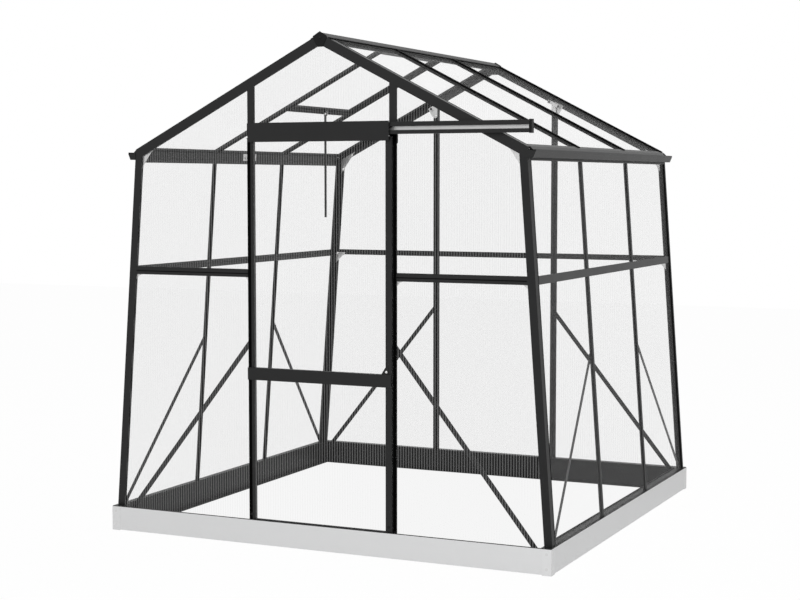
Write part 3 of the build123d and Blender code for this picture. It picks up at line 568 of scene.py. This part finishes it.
def brace_nuts(name):
    """A maker of the nuts near both ends of a node's flat braces."""
    from_end = 0.017

    def fill(shape):
        for brace in solids_of(nodes[name]):
            face = inner_face(brace)
            heights = [corner.z for corner in face.corners]
            halfway = (max(heights) + min(heights)) / 2
            upper = [corner for corner in face.corners if corner.z > halfway]
            lower = [corner for corner in face.corners if corner.z <= halfway]
            head, foot = (sum(corners, Vector()) / len(corners) for corners in (upper, lower))
            for end, other in ((head, foot), (foot, head)):
                add_nut(shape, end + (other - end).normalized() * from_end, face.normal)

    return fill


def eave_point(down, inward):
    """X and Z of a point of the right-hand eave beam's section, from its outer top corner."""
    return (
        EAVE_HALF_WIDTH + down * math.sin(LEAN) - inward * math.cos(LEAN),
        EAVE_HEIGHT - down * math.cos(LEAN) - inward * math.sin(LEAN),
    )


def splice_plates(shape):
    """A plate across the joint in the middle of each eave beam, on its inner side."""
    upper, lower, half_length = 0.004, 0.041, 0.058
    outline = []
    for down, y in oblong(upper, lower, half_length, -half_length):
        x, z = eave_point(down, SPLICE_INWARD)
        outline.append((x, y, z))
    for side in (-1, 1):
        add_plate(shape, mirrored(outline, side, side), PLATE)


def splice_nuts(shape):
    """Two nuts at each side of the joint in an eave beam."""
    x, z = eave_point(0.024, SPLICE_INWARD + PLATE)
    for side in (-1, 1):
        for y in (-0.040, -0.015, 0.015, 0.040):
            add_nut(shape, (side * x, y, z), (-side * math.cos(LEAN), 0, -math.sin(LEAN)))


def eave_corner_covers(shape):
    """Dark plates that close each corner between rafter, post and eave beam, and the end of the beam's nose."""
    reach = 0.030
    cover_y = GABLE_Y - 0.0006
    corner = Vector((EAVE_HALF_WIDTH - 0.0004, EAVE_HEIGHT - 0.0006))
    up_slope = -Vector(sloping(1)).xz * reach
    down_wall = -Vector(leaning(1)).xz * reach
    cover = [corner, corner + up_slope, corner + up_slope + down_wall, corner + down_wall]
    nose = [eave_point(down, inward) for down, inward in ((0.0142, 0.0008), (0.0128, -0.0104), (0.0010, 0.0008))]
    for side in (-1, 1):
        for gable in (-1, 1):
            for section in (cover, nose):
                outline = [(x, cover_y, z) for x, z in section]
                add_plate(shape, mirrored(outline, side, gable), PLATE)


def rail_corners():
    """X of the corners under a front rail, at the corner post's groove and at the door post's middle,
    each with the way that the rail runs from there."""
    return ((wall_x(RAIL_PLATE_TOP) - POST_GROOVE_FLOOR, -1), (STUD_X, 1))


def front_rail_corners(shape):
    """Small corner plates under both ends of each front rail, behind the profiles' lips."""
    leg = 0.040
    for side in (-1, 1):
        for corner, way in rail_corners():
            foot_x = corner + leg * math.tan(LEAN) if way < 0 else corner
            section = [(corner, RAIL_PLATE_TOP), (corner + way * leg, RAIL_PLATE_TOP), (foot_x, RAIL_PLATE_TOP - leg)]
            outline = [(side * x, -GABLE_Y + LIP_BACK, z) for x, z in section]
            if side * way > 0:
                outline.reverse()
            add_plate(shape, outline, PLATE)


def front_rail_nuts(shape):
    """Two nuts on each of those corner plates."""
    near, far = 0.005, 0.028
    for side in (-1, 1):
        for corner, way in rail_corners():
            for along, down in ((far, near), (near, far)):
                place = (side * (corner + way * along), -GABLE_Y + LIP_BACK + PLATE, RAIL_PLATE_TOP - down)
                add_nut(shape, place, (0, 1, 0), across=0.0048, tall=0.0034)


def roof_bar_strips(shape):
    """The dark cover strip along each bar between the sheets of the slopes, and along the rear rafters, which also
    stands as painted shade in the grooves beside them.
    """
    half_width = 0.011
    rafter_strip_y = GABLE_Y - 0.023
    for side in (-1, 1):
        for middle in (-BAY_BAR_Y, BAY_BAR_Y, rafter_strip_y):
            section = oblong(STRIP_FOOT_X, STRIP_TOP_X, middle + half_width, middle - half_width)
            outline = [(x, y, roof_z(x) - HAIRLINE) for x, y in section]
            add_plate(shape, mirrored(outline, side), thickness=0.0044)


def rear_post_strips(shape):
    """A narrower black strip on the side face of each rear corner post: partly a seal, partly painted shade along the
    post.
    """
    foot, top = 0.106, 1.526
    section = oblong(GABLE_Y - 0.034, GABLE_Y - 0.021, foot, top)
    outline = [(wall_x(z) - HAIRLINE, y, z) for y, z in section]
    for side in (-1, 1):
        add_plate(shape, mirrored(outline, side), thickness=0.0030)


def ridge_cap_shade_beads(shape):
    """A dark bead beside the lower edge of the ridge cap, on both slopes, which also stands as painted shade under
    the cap's edge.
    """
    reach, width = 0.9155, 0.008
    section = oblong(STRIP_TOP_X + width, STRIP_TOP_X, reach, -reach)
    outline = [(x, y, roof_z(x) - HAIRLINE) for x, y in section]
    for side in (-1, 1):
        add_plate(shape, mirrored(outline, side), thickness=0.0040)


def corner_gaskets_and_shade(shape):
    """Black gaskets along the free edges of the rafters and corner posts, outside and inside the sheet, which also
    paint the shade that lies on those edges.
    """
    free_edge = GABLE_Y - 0.0342
    slope_ends = [(x, roof_z(x)) for x in (0.036, STRIP_FOOT_X)]
    wall_ends = [(wall_x(z), z) for z in (1.556, 0.106)]
    for side in (-1, 1):
        for gable in (-1, 1):
            for (top, foot), inwards in ((slope_ends, math.pi / 2 - PITCH), (wall_ends, LEAN)):
                for outer, inner in ((-0.0008, 0.0018), (0.0062, 0.0165)):
                    outline = []
                    for (x, z), depth in oblong(top, foot, inner, outer):
                        outline.append((x - depth * math.cos(inwards), free_edge, z - depth * math.sin(inwards)))
                    add_plate(shape, mirrored(outline, side, gable), thickness=0.0015)


def gutter_lips(shape):
    """An upright lip along each gutter's outer rim."""
    rim_x, reach, foot, top = 0.8836, 0.9202, 1.5560, 1.5642
    outline = [(rim_x, y, z) for y, z in oblong(-reach, reach, foot, top)]
    for side in (-1, 1):
        add_plate(shape, mirrored(outline, side, side), thickness=0.0016)


def door_post_seals_and_shade(shape):
    """A black seal strip on the outer part of each door post's face, beside the leaf, which also paints the shade
    that falls on the post there.
    """
    inner, outer, foot, top = STUD_X + 0.0040, STUD_X + 0.0146, 0.104, 1.598
    outline = [(x, -GABLE_Y + HAIRLINE, z) for x, z in oblong(inner, outer, foot, top)]
    for side in (-1, 1):
        add_plate(shape, mirrored(outline, side), thickness=0.0010)


def front_rail_shade_beads(shape):
    """A thin dark bead just under the middle of each front rail's face, clear of the posts beside it, which also
    paints the shade of the rail's groove.
    """
    foot, top = 1.0795, 1.0830
    inner, outer = STUD_X + 0.0155, wall_x(top) - 0.033
    outline = [(x, -GABLE_Y + HAIRLINE, z) for x, z in oblong(inner, outer, foot, top)]
    for side in (-1, 1):
        add_plate(shape, mirrored(outline, side), thickness=0.0006)


def stud_arm_point(along, across, y):
    """A point of the right-hand stud plate's arm, from its middle: downhill along the rafter, and up across it."""
    x = STUD_X + along * math.cos(PITCH) + across * math.sin(PITCH)
    z = roof_z(STUD_X) - 0.040 - along * math.sin(PITCH) + across * math.cos(PITCH)
    return (x, y, z)


def stud_top_plates(shape):
    """A small tee-shaped plate on the inner face of each rear stud, its arm under the rafter."""
    radius, stem, top = 0.011, 0.042, roof_z(STUD_X) - 0.045
    turns = [math.pi * step / 8 for step in range(9)]
    tongue = [(radius, top), (-radius, top)]
    tongue += [(-radius * math.cos(turn), top - stem - radius * math.sin(turn)) for turn in turns]
    half_arm, half_width, arm_y = 0.034, 0.008, STUD_FACE_Y - 0.0012
    section = oblong(-half_arm, half_arm, -half_width, half_width)
    arm = [stud_arm_point(along, across, arm_y) for along, across in section]
    for side in (-1, 1):
        add_plate(shape, [(side * STUD_X + x, STUD_FACE_Y - HAIRLINE, z) for x, z in tongue], PLATE)
        add_plate(shape, mirrored(arm, side), thickness=0.0016)


def stud_top_nuts(shape):
    """A nut low on each of those plates."""
    for side in (-1, 1):
        place = (side * STUD_X, STUD_FACE_Y - HAIRLINE - PLATE, roof_z(STUD_X) - 0.087)
        add_nut(shape, place, (0, -1, 0))


def stud_arm_nuts(shape):
    """A dark nut near each end of the stud plates' arms."""
    for side in (-1, 1):
        for along in (-0.026, 0.026):
            x, y, z = stud_arm_point(along, 0, STUD_FACE_Y - 0.0028)
            add_nut(shape, (side * x, y, z), (0, -1, 0), across=0.0046, tall=0.0034)


def track_bracket(shape):
    """The plate that carries the track at the right-hand door post, just under the track."""
    left, right, foot, top, clip = 0.3005, 0.3305, 1.5805, 1.6248, 0.012
    section = ((left, foot), (left, top), (right, top), (right, foot + clip), (right - clip, foot))
    add_plate(shape, [(x, -GABLE_Y, z) for x, z in section], PLATE)


def stay_bracket(shape):
    """The small plate from which the vent's stay hangs, and the bolt through both."""
    low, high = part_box("vent_stay")
    left, right, top = low.x - 0.004, high.x + 0.004, high.z
    back, thickness = high.y + 0.0004, 0.0016
    bolt_x, bolt_z = (left + right) / 2, top - 0.024
    section = ((left, top - 0.034), (left, top - 0.006), (right, top - 0.012), (right, top - 0.034))
    add_plate(shape, [(x, back, z) for x, z in section], thickness)
    add_bolt(shape, (bolt_x, low.y - HAIRLINE, bolt_z), (0, -1, 0), head=0.0042, tall=0.003)
    add_nut(shape, (bolt_x, back + thickness + 0.0001, bolt_z), (0, 1, 0), across=0.0045, tall=0.0032)


def ridge_plate_bolts(shape):
    """A bolt in the middle of each of the ridge's end plates."""
    low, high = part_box("ridge_plates")
    for gable, y in ((-1, low.y), (1, high.y)):
        add_bolt(shape, (0, y, ROOF_PEAK - 0.016), (0, gable, 0), head=0.0052, tall=0.0036)


def door_closing_seal_and_shade(shape):
    """The black seal along the closing edge of the left-hand stile, which also paints the shade of the gap beside it.
    """
    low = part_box("door_stiles")[0]
    section = oblong(low.x + 0.0004, low.x + 0.0135, low.z + 0.004, 1.600)
    add_plate(shape, [(x, low.y + HAIRLINE, z) for x, z in section], thickness=0.0010)


def door_gusset_bolt(shape):
    """The bolt through the door's corner plate."""
    low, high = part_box("door_gusset")
    add_bolt(shape, (high.x - 0.009, low.y, low.z + 0.010), (0, -1, 0), head=0.0038, tall=0.0026)


def door_foot_bolts(shape):
    """A dark bolt at the foot of each stile, through the bottom rail's end."""
    low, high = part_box("door_stiles")
    inset, rise = 0.013, 0.030
    for x in (low.x + inset, high.x - inset):
        add_bolt(shape, (x, low.y, low.z + rise), (0, -1, 0), head=0.0042, tall=0.0022)


new_piece("base_bolts", base_corner_bolts, zinc, "frame")
new_piece("gusset_nuts", gusset_nuts, zinc, "frame")
new_piece("gable_brace_nuts", brace_nuts("gable_braces"), black_zinc, "frame")
new_piece("side_brace_nuts", brace_nuts("side_braces"), black_zinc, "frame")
new_piece("eave_splice_plates", splice_plates, zinc, "frame")
new_piece("eave_splice_nuts", splice_nuts, zinc, "frame")
new_piece("eave_corner_covers", eave_corner_covers, coat_x, "frame")
new_piece("front_rail_corners", front_rail_corners, zinc, "frame")
new_piece("front_rail_nuts", front_rail_nuts, zinc, "frame")
new_piece("roof_bar_strips", roof_bar_strips, seal_and_shade_black, "frame")
new_piece("rear_post_strips", rear_post_strips, seal_and_shade_black, "frame")
new_piece("ridge_cap_shade_beads", ridge_cap_shade_beads, seal_and_shade_black, "frame")
new_piece("corner_gaskets_and_shade", corner_gaskets_and_shade, seal_and_shade_black, "frame")
new_piece("gutter_lips", gutter_lips, coat_y, "frame")
new_piece("door_post_seals_and_shade", door_post_seals_and_shade, seal_and_shade_black, "frame")
new_piece("front_rail_shade_beads", front_rail_shade_beads, seal_and_shade_black, "frame")
new_piece("stud_top_plates", stud_top_plates, zinc, "frame")
new_piece("stud_top_nuts", stud_top_nuts, zinc, "frame")
new_piece("stud_arm_nuts", stud_arm_nuts, black_zinc, "frame")
new_piece("track_bracket", track_bracket, cap_plastic, "frame")
new_piece("stay_bracket", stay_bracket, zinc, "frame")
new_piece("ridge_plate_bolts", ridge_plate_bolts, black_zinc, "frame")
new_piece("door_closing_seal_and_shade", door_closing_seal_and_shade, seal_and_shade_black, "door")
new_piece("door_gusset_bolt", door_gusset_bolt, zinc, "door")
new_piece("door_foot_bolts", door_foot_bolts, black_zinc, "door")


# Floor, light and camera


def stage_floor():
    """A pale floor that keeps the object's soft shadow."""
    reach, under_base = 12.0, 0.0006
    mesh = bpy.data.meshes.new("studio_floor")
    corners = [(x, y, -under_base) for x, y in oblong(-reach, reach, -reach, reach)]
    mesh.from_pydata(corners, [], [(0, 1, 2, 3)])
    floor = bpy.data.objects.new("studio_floor", mesh)
    bpy.context.scene.collection.objects.link(floor)
    paint = Finish("studio_floor_paint", {"Roughness": 0.9, "Specular IOR Level": 0.0})
    grain = paint.noise(paint.place(), scale=40.0, detail=3.0)
    paint.feed("Base Color", paint.mix(grain, grey(0.86), grey(0.9)))
    shadowed = Signal(paint, paint.shader.outputs["BSDF"])
    white = paint.node("ShaderNodeEmission", None, {"Color": grey(1.0), "Strength": 1.0})
    seen = paint.maths("MAXIMUM", paint.ray("Is Camera Ray"), paint.ray("Is Glossy Ray"))
    shadow_share = 0.03
    blend = paint.node("ShaderNodeMixShader", None, {0: seen * (1 - shadow_share), 1: shadowed, 2: white})
    paint.plug(paint.tree.nodes["Material Output"].inputs["Surface"], blend)
    mesh.materials.append(paint.material)


def studio_world(ambient):
    """Soft even light from all round, and plain white wherever the background shows."""
    world = bpy.data.worlds.new("studio_world")
    bpy.context.scene.world = world
    world.use_nodes = True
    wiring = Wiring(world.node_tree)
    wiring.tree.nodes.clear()
    seen = wiring.maths("MAXIMUM", wiring.ray("Is Camera Ray"), wiring.ray("Is Glossy Ray"))
    seen_or_through = wiring.maths("MAXIMUM", seen, wiring.ray("Is Transmission Ray"))
    soft = wiring.node("ShaderNodeBackground", None, {"Strength": ambient})
    white = wiring.node("ShaderNodeBackground", None, {"Color": grey(1.0)})
    blend = wiring.node("ShaderNodeMixShader", None, {0: seen_or_through, 1: soft, 2: white})
    wiring.plug(wiring.tree.nodes.new("ShaderNodeOutputWorld").inputs["Surface"], blend)


def soft_lamp(name, place, size, power):
    """A large square area lamp aimed at the middle of the house."""
    aim = Vector((0, 0, 0.9))
    lamp = bpy.data.lights.new(name, "AREA")
    lamp.size = size
    lamp.energy = power
    holder = bpy.data.objects.new(name, lamp)
    holder.location = place
    holder.rotation_euler = (aim - Vector(place)).to_track_quat("-Z", "Y").to_euler()
    bpy.context.scene.collection.objects.link(holder)


def studio_camera():
    """The photograph's viewpoint: from the right of the door, a little above the rails."""
    azimuth = math.radians(24.8384)
    elevation = math.radians(4.2056)
    focal_pixels = 1626.44
    photo_width = 800
    camera = bpy.data.cameras.new("camera")
    camera.sensor_width = 36.0
    camera.lens = focal_pixels / photo_width * camera.sensor_width
    camera.clip_end = 60.0
    holder = bpy.data.objects.new("camera", camera)
    holder.location = (2.9308, -6.5174, 1.4504)
    level_reach = math.cos(elevation)
    look = Vector((-math.sin(azimuth) * level_reach, math.cos(azimuth) * level_reach, -math.sin(elevation)))
    holder.rotation_euler = look.to_track_quat("-Z", "Y").to_euler()
    bpy.context.scene.collection.objects.link(holder)
    bpy.context.scene.camera = holder


stage_floor()
studio_world(ambient=0.6)
soft_lamp("front_lamp", place=(3.0, -9.0, 6.0), size=5.5, power=440.0)
soft_lamp("top_lamp", place=(1.2, 0.8, 5.5), size=4.0, power=90.0)
studio_camera()
bpy.context.scene.view_settings.view_transform = "Standard"
